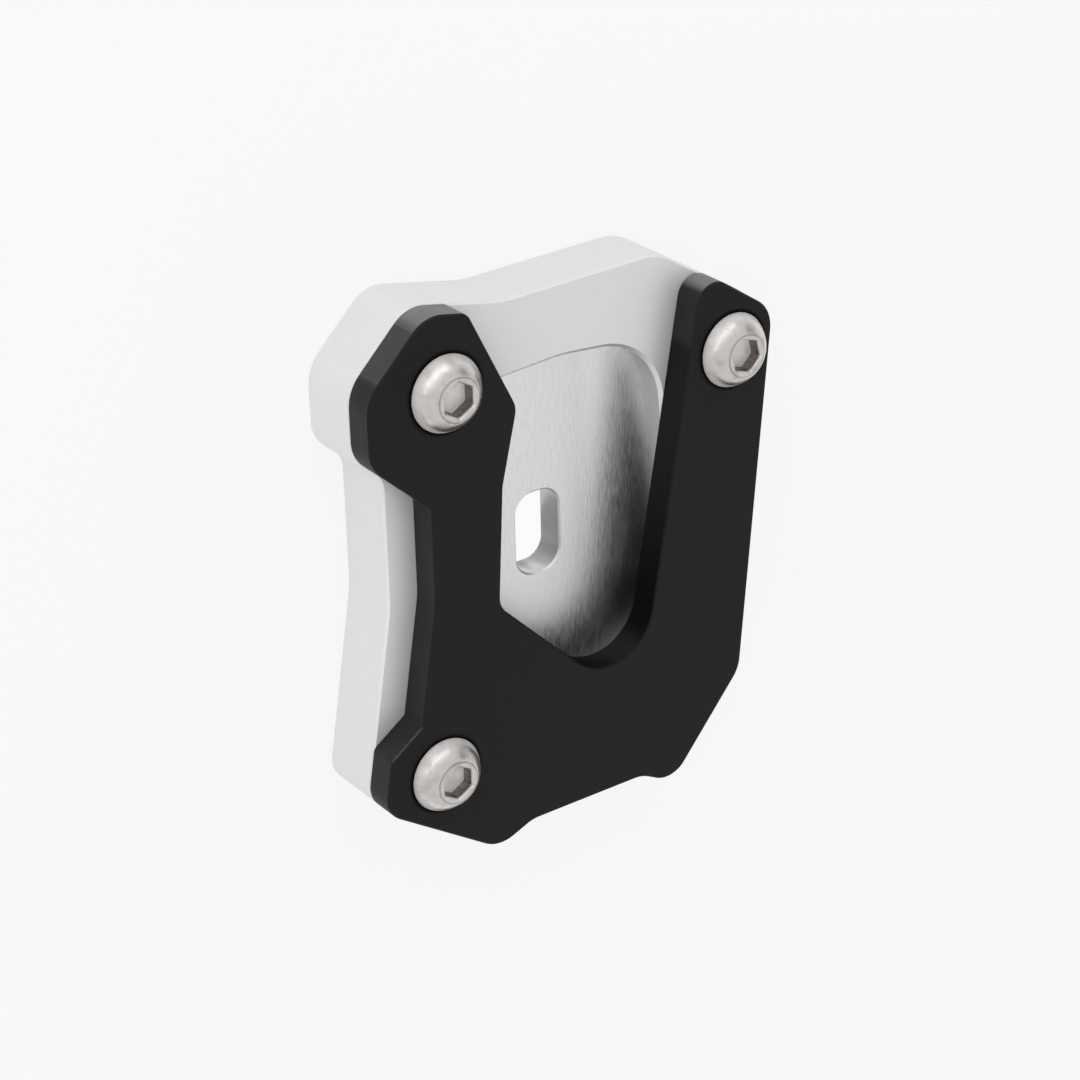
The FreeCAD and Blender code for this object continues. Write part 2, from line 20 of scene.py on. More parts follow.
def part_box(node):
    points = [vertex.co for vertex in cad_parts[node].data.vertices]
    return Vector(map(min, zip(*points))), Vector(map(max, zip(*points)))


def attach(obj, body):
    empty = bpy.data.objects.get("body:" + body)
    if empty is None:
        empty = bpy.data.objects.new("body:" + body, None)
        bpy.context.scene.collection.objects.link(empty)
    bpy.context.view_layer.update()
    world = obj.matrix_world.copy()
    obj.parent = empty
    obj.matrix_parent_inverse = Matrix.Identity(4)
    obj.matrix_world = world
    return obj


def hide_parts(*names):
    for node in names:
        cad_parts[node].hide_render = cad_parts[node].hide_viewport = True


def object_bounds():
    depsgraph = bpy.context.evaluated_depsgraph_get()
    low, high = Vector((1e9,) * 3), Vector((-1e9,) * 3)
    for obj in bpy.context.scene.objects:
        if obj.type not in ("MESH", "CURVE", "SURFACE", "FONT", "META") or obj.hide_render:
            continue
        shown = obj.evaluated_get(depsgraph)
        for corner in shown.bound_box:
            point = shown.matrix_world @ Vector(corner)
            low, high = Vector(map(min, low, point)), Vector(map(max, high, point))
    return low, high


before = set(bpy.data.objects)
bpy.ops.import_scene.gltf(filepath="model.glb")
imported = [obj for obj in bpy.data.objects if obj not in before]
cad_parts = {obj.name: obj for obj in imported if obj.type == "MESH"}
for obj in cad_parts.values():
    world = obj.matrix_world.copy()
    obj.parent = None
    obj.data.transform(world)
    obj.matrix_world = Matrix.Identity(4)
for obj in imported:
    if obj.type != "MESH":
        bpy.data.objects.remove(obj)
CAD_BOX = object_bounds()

log = logging.getLogger("foot_enlarger")

MM = 0.001
BODY = "root"
WHITE = (1.0, 1.0, 1.0, 1.0)

Spot = Tuple[float, float]
Area = Tuple[Spot, Spot]
Point = Tuple[float, float, float]
Colour = Tuple[float, float, float, float]
Term = Union["Signal", float]
Paint = Union["Signal", Colour]
EdgeTest = Callable[[bmesh.types.BMEdge], bool]


class Signal:
    """A socket that adds Math nodes when Python's operators are used on it."""

    def __init__(self, graph: "Graph", socket: bpy.types.NodeSocket) -> None:
        """Keep the socket, and the graph that new nodes go into."""
        self.graph = graph
        self.socket = socket

    def _math(self, operation: str, *terms: Term) -> "Signal":
        """Add a Math node that takes the terms in order."""
        return self.graph.node("ShaderNodeMath", {"operation": operation}, dict(enumerate(terms)))

    def __add__(self, other: Term) -> "Signal":
        """Add."""
        return self._math("ADD", self, other)

    def __radd__(self, other: float) -> "Signal":
        """Add to a number."""
        return self._math("ADD", other, self)

    def __sub__(self, other: Term) -> "Signal":
        """Take away."""
        return self._math("SUBTRACT", self, other)

    def __rsub__(self, other: float) -> "Signal":
        """Take away from a number."""
        return self._math("SUBTRACT", other, self)

    def __mul__(self, other: Term) -> "Signal":
        """Multiply."""
        return self._math("MULTIPLY", self, other)

    def __rmul__(self, other: float) -> "Signal":
        """Multiply a number."""
        return self._math("MULTIPLY", other, self)

    def __truediv__(self, other: Term) -> "Signal":
        """Divide."""
        return self._math("DIVIDE", self, other)

    def __abs__(self) -> "Signal":
        """Drop the sign."""
        return self._math("ABSOLUTE", self)

    def larger(self, other: Term) -> "Signal":
        """The larger of the two."""
        return self._math("MAXIMUM", self, other)

    def smaller(self, other: Term) -> "Signal":
        """The smaller of the two."""
        return self._math("MINIMUM", self, other)

    def root(self) -> "Signal":
        """Square root."""
        return self._math("SQRT", self)

    def angle_from(self, other: "Signal") -> "Signal":
        """The angle of the point whose first coordinate is the other signal, and second this one."""
        return self._math("ARCTAN2", self, other)

    def zigzag(self, height: float) -> "Signal":
        """Go up and down between zero and a height, one for one."""
        return self._math("PINGPONG", self, height)

    def rise(self, low: float, high: float) -> "Signal":
        """Go smoothly from 0 at one value to 1 at another; the first may be the larger one."""
        if low > high:
            return 1.0 - self.rise(high, low)
        settings = {"interpolation_type": "SMOOTHSTEP"}
        return self.graph.node("ShaderNodeMapRange", settings, {0: self, 1: low, 2: high})


class Graph:
    """The nodes of one material or of the world."""

    def __init__(self, tree: bpy.types.NodeTree) -> None:
        """Empty the tree and keep it."""
        self.tree = tree
        tree.nodes.clear()

    def node(
        self,
        kind: str,
        settings: Optional[Dict[str, object]] = None,
        inputs: Optional[Dict[Union[int, str], object]] = None,
        output: Union[int, str] = 0,
    ) -> Signal:
        """Add a node.

        Args:
            kind: The node's type.
            settings: The node's own properties, set before its sockets.
            inputs: Values or signals for its sockets, by name or number.
            output: The output that is wanted.

        Returns:
            That output.
        """
        made = self.tree.nodes.new(kind)
        for key, value in (settings or {}).items():
            setattr(made, key, value)
        for key, value in (inputs or {}).items():
            if isinstance(value, Signal):
                self.tree.links.new(value.socket, made.inputs[key])
            else:
                made.inputs[key].default_value = value
        return Signal(self, made.outputs[output] if made.outputs else None)

    def blend(self, factor: Term, first: Paint, second: Paint) -> Signal:
        """Mix two colours, the first at factor 0."""
        return self.node("ShaderNodeMix", {"data_type": "RGBA"}, {0: factor, 6: first, 7: second}, 2)

    def overlay(self, factor: Term, first: Signal, second: Signal) -> Signal:
        """Mix two shaders, the first at factor 0."""
        return self.node("ShaderNodeMixShader", None, {0: factor, 1: first, 2: second})

    def shade(self, colour: Union[Signal, Point], strength: Term) -> Signal:
        """Multiply a colour by a number."""
        return self.node("ShaderNodeVectorMath", {"operation": "SCALE"}, {0: colour, 3: strength})

    def place(self) -> Signal:
        """The point on the piece, in millimetres."""
        return self.shade(self.node("ShaderNodeTexCoord", output="Object"), 1.0 / MM)

    def facing(self) -> Signal:
        """The face's direction on the piece."""
        return self.node("ShaderNodeTexCoord", output="Normal")

    def parts(self, vector: Signal) -> Tuple[Signal, Signal, Signal]:
        """Split a vector into its three numbers."""
        split = self.node("ShaderNodeSeparateXYZ", inputs={0: vector})
        return tuple(Signal(self, socket) for socket in split.socket.node.outputs)

    @staticmethod
    def reach(x: Signal, y: Signal, spots: Sequence[Spot]) -> Signal:
        """How far a point is from the nearest of some upright axes."""
        nearest: Optional[Signal] = None
        for spot_x, spot_y in spots:
            across, along = x - spot_x, y - spot_y
            out = (across * across + along * along).root()
            nearest = out if nearest is None else nearest.smaller(out)
        return nearest

    def grain(self, vector: Signal, stretch: Point, detail: float = 2.0, rough: float = 0.5) -> Signal:
        """Noise from 0 to 1 with so many features to the millimetre along each axis."""
        scaled = self.node("ShaderNodeVectorMath", {"operation": "MULTIPLY"}, {0: vector, 1: stretch})
        inputs = {"Vector": scaled, "Scale": 1.0, "Detail": detail, "Roughness": rough}
        return self.node("ShaderNodeTexNoise", {"noise_dimensions": "3D"}, inputs)

    def bump(self, height: Signal, depth: float, strength: float = 1.0) -> Signal:
        """A normal from a height of 0 to 1 that stands for a depth in millimetres."""
        inputs = {"Height": height, "Distance": depth * MM, "Strength": strength}
        return self.node("ShaderNodeBump", None, inputs)

    def ray(self, kind: str) -> Signal:
        """1 for the rays of one kind."""
        return self.node("ShaderNodeLightPath", output=f"Is {kind} Ray")

    def surface(self, inputs: Dict[str, object]) -> None:
        """Finish the material with one glossy surface."""
        shader = self.node("ShaderNodeBsdfPrincipled", None, inputs)
        self.node("ShaderNodeOutputMaterial", None, {"Surface": shader})


@dataclass(frozen=True)
class Finish:
    """A surface finish: the values that every finish has."""

    name: str
    colour: Colour
    metallic: float
    roughness: float
    specular: float = 0.5

    def make(self) -> bpy.types.Material:
        """Make the material.

        Returns:
            The new material, with its nodes.
        """
        material = bpy.data.materials.new(self.name)
        material.use_nodes = True
        material.diffuse_color = self.colour
        graph = Graph(material.node_tree)
        inputs = {"Base Color": self.colour, "Roughness": self.roughness}
        inputs.update({"Metallic": self.metallic, "Specular IOR Level": self.specular})
        inputs.update(self.detail(graph))
        graph.surface(inputs)
        return material

    def detail(self, graph: Graph) -> Dict[str, object]:
        """The sockets that vary over the surface."""
        return {}

    def dress(self, piece: bpy.types.Object) -> None:
        """Give the piece this finish alone."""
        material = self.make()
        slots = piece.material_slots
        if not slots:
            piece.data.materials.append(material)
        for slot in slots:
            slot.material = material


@dataclass(frozen=True)
class BlastedAlloy(Finish):
    """Machined aluminium, blasted to a satin grey, with a brushed pocket floor and tapped holes."""

    pocket_floor: float = 5.8
    plate_top: float = 9.6
    hole_radius: float = 3.05
    pitch: float = 1.0
    thread_height: float = 16.0
    bump_depth: float = 0.02
    holes: Tuple[Spot, ...] = ()
    # Centre of the painted shade on the pocket floor, by the arm's low end.
    painted_shade_centre: Spot = (13.6, -14.2)
    cut_area: Area = ((-19.0, -25.0), (21.5, 30.0))
    pit_grain: Point = (6.0, 6.0, 6.0)
    brush_grain: Point = (3.4, 0.5, 1.0)
    cutter_grain: Point = (0.25, 0.25, 5.0)
    cloud_grain: Point = (0.07, 0.07, 0.07)

    def detail(self, graph: Graph) -> Dict[str, object]:
        """Blasted grain all over, a brushed pocket floor, threads in the holes, painted shade and painted
        light.

        Args:
            graph: The material's nodes.

        Returns:
            The varying sockets.
        """
        place = graph.place()
        x, y, z = graph.parts(place)
        across, _along, up = graph.parts(graph.facing())
        west = across.rise(-0.5, -0.95)
        flat = up.rise(0.8, 0.95)
        floor = flat * z.rise(self.pocket_floor + 0.3, self.pocket_floor + 0.15)
        wall = abs(up).rise(0.3, 0.1)
        top = flat * z.rise(self.plate_top - 0.3, self.plate_top - 0.2)
        inside = (1.0 - self.beyond(x, y)) * (1.0 - top) * up.rise(-0.95, -0.8)
        bevel = up.rise(0.4, 0.55) * up.rise(0.9, 0.8)
        face = flat * (1.0 - floor)

        pits = graph.grain(place, self.pit_grain, 3.0, 0.6)
        brushed = graph.grain(place, self.brush_grain, 3.0, 0.65)
        cutter = graph.grain(place, self.cutter_grain)
        cloud = graph.grain(place, self.cloud_grain)
        lines = brushed * (floor + face * 0.5) + cutter * wall
        lines = lines + (1.0 - floor - wall - face * 0.5) * 0.5

        tone = 0.975 + 0.05 * cloud + (lines - 0.5) * (0.05 + floor * 0.35) + (pits - 0.5) * 0.05
        # Painted shade: the walls inside the pocket and the slot are darker, those facing -X most.
        tone = tone - inside * wall * (0.08 + 0.25 * west) + floor * 0.06 + bevel * 0.1
        # Painted light in a paler band on the pocket floor, and painted shade in a dark spot near the
        # arm's low end.
        painted_light_band = floor * x.rise(5.0, 9.0) * x.rise(15.0, 12.0) * y.rise(-9.0, -6.0)
        dark = floor * graph.reach(x, y, (self.painted_shade_centre,)).rise(6.5, 1.0)
        tone = tone * (1.0 + painted_light_band * 0.18) * (1.0 - dark * 0.5)
        red, green, blue, _alpha = self.colour
        tint = graph.blend(cloud, self.colour, (red, green * 0.99, blue * 0.99, 1.0))
        rough = self.roughness + (pits - 0.5) * 0.1 + (lines - 0.5) * (0.14 + floor * 0.2)
        height = pits * (0.35 + floor * 0.25) + lines * (0.5 + floor * 1.6)
        height = height + self.thread(x, y, z) * self.thread_height
        return {
            "Base Color": graph.shade(tint, tone),
            "Metallic": self.metallic + (1.0 - self.metallic) * inside,
            "Roughness": rough - floor * 0.06 - inside * wall * 0.1,
            "Normal": graph.bump(height, self.bump_depth, 0.6),
        }

    def beyond(self, x: Signal, y: Signal) -> Signal:
        """1 outside the block of the plate that holds the pocket and the slot, and 0 in it."""
        (low_x, low_y), (high_x, high_y) = self.cut_area
        across = x.rise(high_x, high_x + 0.5).larger(x.rise(low_x, low_x - 0.5))
        along = y.rise(high_y, high_y + 0.5).larger(y.rise(low_y, low_y - 0.5))
        return across.larger(along)

    def thread(self, x: Signal, y: Signal, z: Signal) -> Signal:
        """The height of the threads inside the tapped holes, from 0 to 1."""
        total: Term = 0.0
        for hole in self.holes:
            near = Graph.reach(x, y, (hole,)).rise(self.hole_radius + 0.1, self.hole_radius + 0.02)
            turn = (y - hole[1]).angle_from(x - hole[0]) / math.tau
            total = (z / self.pitch + turn).zigzag(0.5) * 2.0 * near + total
        return total


@dataclass(frozen=True)
class BlackAnodised(Finish):
    """Black satin anodising over a flat plate, with faint cutter lines on its edges."""

    edge_colour: Colour = (0.02, 0.019, 0.02, 1.0)
    # Colour of the painted light on the upper end's walls and the heel shoulder's chamfer.
    painted_light_colour: Colour = (0.2, 0.195, 0.198, 1.0)
    fork: Area = ((-19.0, -25.0), (21.5, 24.0))
    heads: Tuple[Spot, ...] = ()
    head_radius: float = 5.25
    shadow_width: float = 0.8
    bump_depth: float = 0.012
    pit_grain: Point = (9.0, 9.0, 9.0)
    cutter_grain: Point = (0.3, 0.3, 4.5)
    cloud_grain: Point = (0.12, 0.12, 0.3)
    rolled_grain: Point = (0.5, 0.04, 0.5)

    def detail(self, graph: Graph) -> Dict[str, object]:
        """A fine even grain on the faces, lines round the plate's edges, and painted light and shade.

        Args:
            graph: The material's nodes.

        Returns:
            The varying sockets.
        """
        place = graph.place()
        x, y, _z = graph.parts(place)
        _across, along, up = graph.parts(graph.facing())
        (low_x, low_y), (high_x, high_y) = self.fork
        in_fork = x.rise(low_x - 0.5, low_x) * x.rise(high_x + 0.5, high_x)
        in_fork = in_fork * y.rise(low_y - 0.5, low_y) * y.rise(high_y + 2.0, high_y)
        wall = abs(up).rise(0.8, 0.5)
        outer = wall * (1.0 - in_fork)
        # Painted light: the outer walls at the plate's upper end that face along +Y are paler.
        end = outer * along.rise(0.6, 0.97) * y.rise(18.0, 22.0)
        edge = up.rise(0.5, 0.6) * up.rise(0.9, 0.8)
        shoulder = along.rise(0.3, 0.4) * x.rise(-22.0, -24.0) * y.rise(-16.0, -18.0)
        # Painted shadow: the face is darker and less coated in a ring round each head.
        out = graph.reach(x, y, self.heads)
        under = out.rise(self.head_radius + self.shadow_width, self.head_radius) * up.rise(0.8, 0.95)
        bend = along.rise(0.5, 0.9)
        lit = y.rise(-12.0, 16.0).larger(bend)

        pits = graph.grain(place, self.pit_grain, 2.0, 0.6)
        lines = graph.grain(place, self.cutter_grain, 3.0, 0.6)
        cloud = graph.grain(place, self.cloud_grain)
        rolled = graph.grain(place, self.rolled_grain)
        # Painted highlight along the chamfer of the heel's slanted shoulder, broken up by the grain.
        painted_glint = edge * shoulder * pits.rise(0.35, 0.6) * 0.4
        colour = graph.blend(outer * (0.4 + 0.6 * cloud), self.colour, self.edge_colour)
        colour = graph.blend(end.larger(painted_glint), colour, self.painted_light_colour)
        tone = 0.9 + 0.1 * cloud + 0.1 * rolled + (pits - 0.5) * 0.2 + wall * (lines - 0.5) * 0.6
        gloss = 0.42 + 0.04 * outer + (pits - 0.5) * 0.08
        # Painted shade: the walls inside the fork lose most of their coat, less so where the lit mask is
        # high.
        gloss = gloss - wall * in_fork * (0.37 - 0.25 * lit - 0.05 * bend)
        rough = self.roughness + (pits - 0.5) * 0.12 + (cloud - 0.5) * 0.06
        return {
            "Base Color": graph.shade(colour, tone * (1.0 - under * 0.8)),
            "Roughness": rough + wall * (lines - 0.5) * 0.2,
            "Coat Weight": gloss * (1.0 - under * 0.9),
            "Coat Roughness": 0.4,
            "Normal": graph.bump(pits * 0.4 + lines * wall, self.bump_depth, 0.6),
        }


@dataclass(frozen=True)
class FormedSteel(Finish):
    """Cold-formed stainless steel with a soft polish, sockets left dull by the punch, and painted shade
    and light.
    """

    heads: Tuple[Spot, ...] = ()
    seat: float = 14.0
    socket_reach: float = 2.5
    step_at: float = 2.95
    rim_from: float = 4.4
    rim_to: float = 5.0
    bump_depth: float = 0.06
    streak_grain: Point = (5.0, 5.0, 0.6)
    pit_grain: Point = (8.0, 8.0, 8.0)
    dent_grain: Point = (1.1, 1.1, 1.1)
    smudge_grain: Point = (0.6, 0.6, 0.6)

    def detail(self, graph: Graph) -> Dict[str, object]:
        """Uneven polish and shallow forming marks; painted shade and light on the sockets, the step and
        the rim.

        Args:
            graph: The material's nodes.

        Returns:
            The varying sockets.
        """
        place = graph.place()
        x, y, z = graph.parts(place)
        _across, _along, up = graph.parts(graph.facing())
        out, high = graph.reach(x, y, self.heads), z - self.seat
        socket = out.rise(self.socket_reach + 0.1, self.socket_reach) * high.rise(0.7, 0.8)
        wall = socket * abs(up).rise(0.5, 0.3)
        floor = socket * up.rise(0.7, 0.8) * high.rise(1.4, 1.3)
        rim = out.rise(self.rim_from, self.rim_to) * high.rise(-0.1, 0.0)
        step = out.rise(self.step_at - 0.12, self.step_at)
        step = step * out.rise(self.step_at + 0.25, self.step_at + 0.1)
        flare = socket * up.rise(0.3, 0.45) * up.rise(0.7, 0.6) * high.rise(2.0, 2.2)

        streaks = graph.grain(place, self.streak_grain, 3.0, 0.6)
        pits = graph.grain(place, self.pit_grain, 3.0, 0.6)
        dents = graph.grain(place, self.dent_grain)
        smudge = graph.grain(place, self.smudge_grain, 3.0, 0.6).rise(0.4, 0.75)
        red, green, blue, _alpha = self.colour
        warm = (red, green * 0.95, blue * 0.92, 1.0)
        tone = 1.0 - smudge * 0.16 + (pits - 0.5) * 0.08
        # Painted shade: the socket walls are darkened in streaks, and at Base Color tinted warm like the
        # smudges.
        tone = tone * (1.0 - wall * (1.0 - 0.9 * streaks))
        # Painted light on the socket floors, the dome's rim and the flares, and painted shade in a dark
        # line at the step round the flat top; the lit three are also made less metallic below.
        tone = tone + floor * 0.3 + rim * 0.08 - step * 0.35 + flare * 0.1
        rough = self.roughness + smudge * 0.12 + (pits - 0.5) * 0.12
        rough = rough + (floor + rim + flare) * 0.2 + wall * 0.1
        return {
            "Base Color": graph.shade(graph.blend(smudge.larger(wall), self.colour, warm), tone),
            "Metallic": self.metallic - rim * 0.8 - floor * 0.4 - flare * 0.6,
            "Roughness": rough,
            "Normal": graph.bump(pits * 0.12 + dents, self.bump_depth, 0.5),
        }


class Keep(Enum):
    """Which side of a cutting plane is kept."""

    ABOVE = 1
    BELOW = 2


class Bench:
    """Modelling steps that work on one piece at a time."""

    @staticmethod
    def clear_selection() -> None:
        """Leave edit mode and deselect everything."""
        if bpy.context.object and bpy.context.object.mode != "OBJECT":
            bpy.ops.object.mode_set(mode="OBJECT")
        bpy.ops.object.select_all(action="DESELECT")

    @staticmethod
    def pick(*pieces: bpy.types.Object) -> None:
        """Select the pieces and make the first one active."""
        Bench.clear_selection()
        for piece in pieces:
            piece.select_set(True)
        bpy.context.view_layer.objects.active = pieces[0]

    @staticmethod
    def edit(piece: bpy.types.Object, mode: str = "VERT") -> None:
        """Enter edit mode with nothing selected.

        Args:
            piece: The piece to edit.
            mode: What is selected: VERT, EDGE or FACE.
        """
        Bench.pick(piece)
        bpy.ops.object.mode_set(mode="EDIT")
        bpy.ops.mesh.select_mode(type=mode)
        bpy.ops.mesh.select_all(action="DESELECT")

    @staticmethod
    def roll_edges(piece: bpy.types.Object, wanted: EdgeTest, width: float, steps: int) -> None:
        """Round off the edges that pass a test.

        Args:
            piece: The piece, in edit mode.
            wanted: The test.
            width: How wide the rounding is, in metres.
            steps: How many faces it has across.
        """
        mesh = bmesh.from_edit_mesh(piece.data)
        for edge in mesh.edges:
            edge.select = wanted(edge)
        bmesh.update_edit_mesh(piece.data)
        bpy.ops.mesh.bevel(offset=width, segments=steps)

    @staticmethod
    def leave() -> None:
        """Return to object mode."""
        bpy.ops.object.mode_set(mode="OBJECT")

    @staticmethod
    def turn_faces(piece: bpy.types.Object, merge: float = 0.0) -> None:
        """Point a piece's faces outwards, which is only sure to work where the piece is closed.

        Args:
            piece: The piece.
            merge: Points closer than this are made one first, in metres.
        """
        Bench.edit(piece)
        bpy.ops.mesh.select_all(action="SELECT")
        if merge:
            bpy.ops.mesh.remove_doubles(threshold=merge)
        bpy.ops.mesh.normals_make_consistent(inside=False)
        Bench.leave()

    @staticmethod
    def twin(piece: bpy.types.Object, name: str) -> bpy.types.Object:
        """Copy a piece and its mesh."""
        Bench.pick(piece)
        bpy.ops.object.duplicate()
        copy = bpy.context.object
        copy.name = copy.data.name = name
        return copy

    @staticmethod
    def settle(piece: bpy.types.Object) -> None:
        """Put the piece's place, turn and scale into its mesh."""
        Bench.pick(piece)
        bpy.ops.object.transform_apply(location=True, rotation=True, scale=True)

    @staticmethod
    def combine(piece: bpy.types.Object, tool: bpy.types.Object, operation: str) -> None:
        """Cut, join or trim a piece with another, which is used up.

        Args:
            piece: The piece that stays.
            tool: The piece that is used up.
            operation: DIFFERENCE, UNION or INTERSECT.
        """
        Bench.pick(piece)
        modifier = piece.modifiers.new("combine", "BOOLEAN")
        modifier.operation = operation
        modifier.solver = "EXACT"
        modifier.object = tool
        bpy.ops.object.modifier_apply(modifier=modifier.name)
        bpy.data.objects.remove(tool)

    @staticmethod
    def slice(piece: bpy.types.Object, height: float, keep: Keep) -> None:
        """Cut a piece at a height and fill the cut.

        The operator takes points within 0.1 mm of the cut as lying on it and leaves them there, so a
        cut through a thread is ragged by that much, and isn't filled all round.

        Args:
            piece: The piece to cut.
            height: Where to cut, in metres.
            keep: The side that stays.
        """
        Bench.edit(piece)
        bpy.ops.mesh.select_all(action="SELECT")
        bpy.ops.mesh.bisect(
            plane_co=(0.0, 0.0, height),
            plane_no=(0.0, 0.0, 1.0),
            use_fill=True,
            clear_inner=keep is Keep.ABOVE,
            clear_outer=keep is Keep.BELOW,
        )
        Bench.leave()


@dataclass
class ButtonScrew:
    """A button-head screw with a hexagon socket and a full thread, its head's seat at height 0.

    The step profile says how far out and down from the flat top's edge each ring is, as shares of the
    rim's rounding. The tooth says how far out of the core and how far up each point is, as shares of
    the thread's height and pitch.
    """

    length: float
    head_d: float = 10.5
    head_high: float = 3.05
    head_lip: float = 0.15
    flat_d: float = 5.9
    rim_round: float = 0.1
    step_profile: Tuple[Spot, ...] = ((0.9, 0.95), (0.5, 0.85), (0.0, 0.3), (-0.4, 0.06), (-1.0, 0.0))
    socket_sides: int = 6
    socket_turn: float = 30.0
    socket_flats: float = 4.2
    socket_deep: float = 2.0
    socket_corner: float = 0.18
    socket_bottom: float = 0.15
    mouth_flats: float = 4.7
    mouth_round: float = 0.05
    flare_slope: float = 60.0
    flare_deep: float = 0.9
    tool_spare: float = 1.0
    shank_d: float = 5.98
    core_d: float = 4.77
    shank_in_head: float = 0.5
    pitch: float = 1.0
    tooth: Tuple[Spot, ...] = ((0.0, 0.0), (0.0, 0.2), (1.0, 0.52), (1.0, 0.68), (0.0, 1.0))
    thread_steps: int = 40
    spare_turns: float = 1.5
    merge_under: float = 0.002
    slack: float = 0.01
    smooth_under: float = 32.0
    sides: int = 96
    dome_steps: int = 12

    def dome(self) -> Spot:
        """The dome's radius, and the height of its centre over the head's seat."""
        head, flat = self.head_d / 2, self.flat_d / 2
        spread = head ** 2 + self.head_lip ** 2 - flat ** 2 - self.head_high ** 2
        centre = spread / (2 * (self.head_lip - self.head_high))
        return math.hypot(head, self.head_lip - centre), centre

    def head_rings(self) -> List[Spot]:
        """Radius and height of each ring of the head, from its seat up to its flat top."""
        radius, centre = self.dome()
        head, edge = self.head_d / 2, self.rim_round
        rings = [(head - edge, 0.0), (head - edge * 0.3, edge * 0.3), (head, edge)]
        low = math.atan2(self.head_lip - centre, head)
        high = math.atan2(self.head_high - centre, self.flat_d / 2)
        for step in range(self.dome_steps + 1):
            angle = low + (high - low) * step / self.dome_steps
            rings.append((radius * math.cos(angle), centre + radius * math.sin(angle)))
        last_radius, _last_height = rings.pop()
        for out, down in self.step_profile:
            rings.append((last_radius + edge * out, self.head_high - edge * down))
        return rings

    def turned_head(self) -> bpy.types.Object:
        """The head as it comes off a lathe, closed and without its socket."""
        rings = self.head_rings()
        first_radius, first_height = rings[0]
        Bench.clear_selection()
        bpy.ops.mesh.primitive_circle_add(
            vertices=self.sides,
            radius=first_radius * MM,
            fill_type="NGON",
            location=(0, 0, first_height * MM),
        )
        head = bpy.context.object
        Bench.settle(head)
        Bench.edit(head, "FACE")
        bpy.ops.mesh.select_all(action="SELECT")
        for (radius, height), (next_radius, next_height) in zip(rings, rings[1:]):
            lift = (0.0, 0.0, (next_height - height) * MM)
            bpy.ops.mesh.extrude_region_move(TRANSFORM_OT_translate={"value": lift})
            scale, centre = next_radius / radius, (0.0, 0.0, next_height * MM)
            bpy.ops.transform.resize(value=(scale, scale, 1.0), center_override=centre)
        Bench.turn_faces(head)
        return head

    def socket_tool(self, bottom_flats: float, top_flats: float, deep: float) -> bpy.types.Object:
        """A hexagonal tool that stands in the head and out over it.

        Args:
            bottom_flats: Its width over flats at its lower end.
            top_flats: Its width over flats at its upper end.
            deep: How deep it goes below the head's flat top.

        Returns:
            The tool.
        """
        to_corner = 0.5 / math.cos(math.pi / self.socket_sides)
        Bench.clear_selection()
        bpy.ops.mesh.primitive_cone_add(
            vertices=self.socket_sides,
            radius1=bottom_flats * to_corner * MM,
            radius2=top_flats * to_corner * MM,
            depth=(deep + self.tool_spare) * MM,
            location=(0, 0, (self.head_high + (self.tool_spare - deep) / 2) * MM),
            rotation=(0, 0, math.radians(self.socket_turn)),
        )
        tool = bpy.context.object
        Bench.settle(tool)
        return tool

    def punch_socket(self, head: bpy.types.Object) -> None:
        """Cut the hexagon socket, flare its six sides at the mouth and roll the mouth's rim."""
        punch = self.socket_tool(self.socket_flats, self.socket_flats, self.socket_deep)
        bottom = (self.head_high - self.socket_deep + self.slack) * MM

        def upright(edge: bmesh.types.BMEdge) -> bool:
            """Test for the punch's six upright corners."""
            return abs(edge.verts[0].co.z - edge.verts[1].co.z) > self.tool_spare * MM

        def at_bottom(edge: bmesh.types.BMEdge) -> bool:
            """Test for the edges round the punch's lower end."""
            return max(point.co.z for point in edge.verts) < bottom

        Bench.edit(punch, "EDGE")
        Bench.roll_edges(punch, upright, self.socket_corner * MM, 3)
        Bench.roll_edges(punch, at_bottom, self.socket_bottom * MM, 2)
        Bench.leave()
        Bench.combine(head, punch, "DIFFERENCE")

        widening = 2 * math.tan(math.radians(90 - self.flare_slope))
        narrow = self.mouth_flats - self.flare_deep * widening
        wide = self.mouth_flats + self.tool_spare * widening
        Bench.combine(head, self.socket_tool(narrow, wide, self.flare_deep), "DIFFERENCE")
        top = (self.head_high - self.slack) * MM
        reach_out = (self.mouth_flats / 2 / math.cos(math.pi / self.socket_sides) + self.slack) * MM

        def on_rim(edge: bmesh.types.BMEdge) -> bool:
            """Test for the mouth's upper rim."""
            return all(point.co.z > top and point.co.xy.length < reach_out for point in edge.verts)

        Bench.edit(head, "EDGE")
        Bench.roll_edges(head, on_rim, self.mouth_round * MM, 2)
        Bench.leave()

